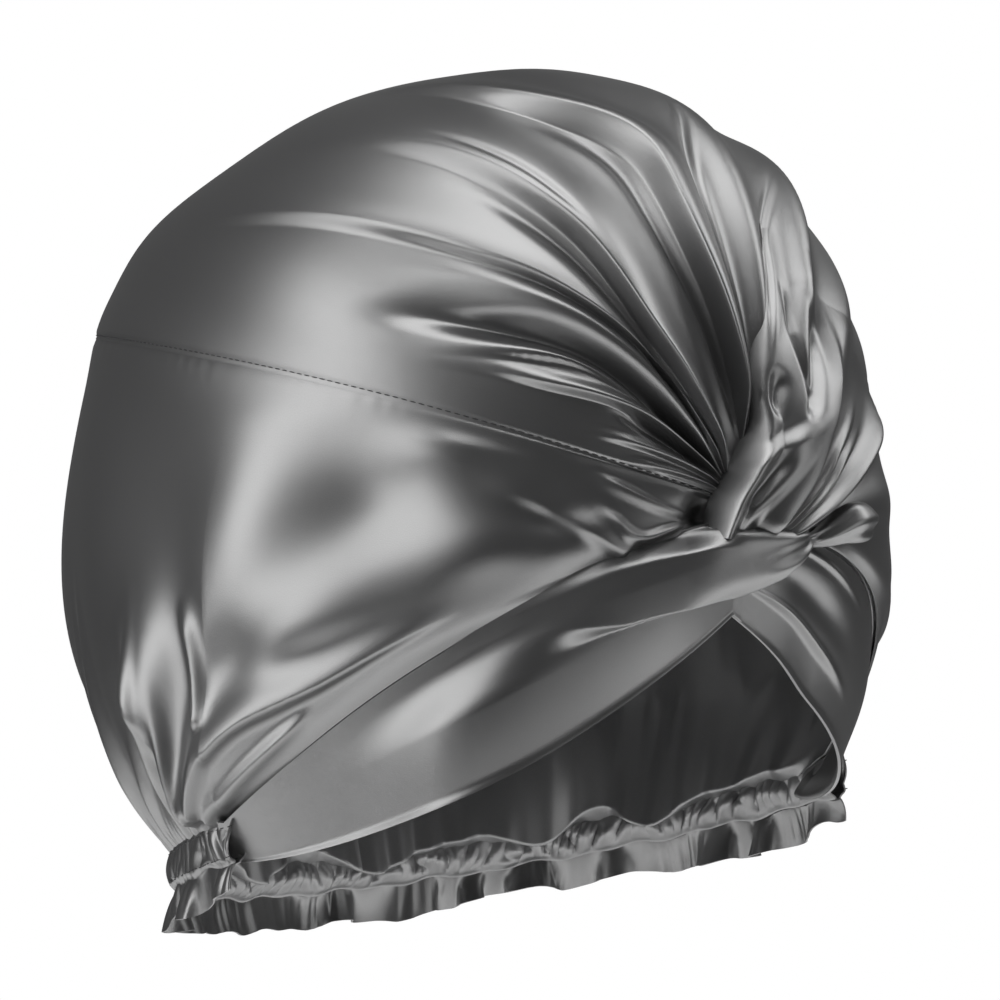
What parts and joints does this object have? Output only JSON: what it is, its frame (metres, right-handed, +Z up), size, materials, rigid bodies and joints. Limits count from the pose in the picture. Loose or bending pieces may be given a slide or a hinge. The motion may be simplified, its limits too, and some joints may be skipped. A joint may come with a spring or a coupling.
{
  "type": "satin turban bonnet",
  "caption": "Soft double-layer satin hair bonnet with a gathered crown, a twisted front knot over a folded brow band, and an elastic nape hem with a ruffle.",
  "frame": {"origin": "on the head's upright axis, about 22 mm below the ear ends of the brow band, where the head comes in", "axes": "+Z up to the crown, -Y towards the face opening and the twist, -X to the wearer's right"},
  "size_m": [0.2418, 0.2746, 0.264],
  "materials": {
    "satin": "charcoal grey satin weave with a broad sheen",
    "satin_lining": "the same satin, inner layer",
    "thread": "matte sewing thread",
    "elastic": "knitted elastic band"
  },
  "bodies": {
    "crown": {"crown_panel": "satin", "crown_lining": "satin_lining", "side_panel_right": "satin", "side_panel_left": "satin", "side_lining_right": "satin_lining", "side_lining_left": "satin_lining", "brow_band_right": "satin", "brow_band_left": "satin", "twist_strand_left": "satin", "twist_strand_right": "satin", "knot_tack": "thread", "crown_seam_stitch_right": "thread", "crown_seam_stitch_left": "thread"},
    "nape_hem": {"nape_casing_outer": "satin", "nape_casing_inner": "satin_lining", "nape_elastic": "elastic", "elastic_tack_right": "thread", "elastic_tack_left": "thread", "nape_ruffle": "satin", "casing_stitch_upper": "thread", "casing_stitch_lower": "thread"}
  },
  "joints": [
    {"name": "nape_stretch", "type": "hinge", "parent": "crown", "child": "nape_hem", "pos_m": [0, -0.035, 0.028], "axis": [-1, 0, 0], "range_deg": [0, 12], "stiffness_Nm_per_rad": 0.6, "springref_deg": -2.86}
  ]
}
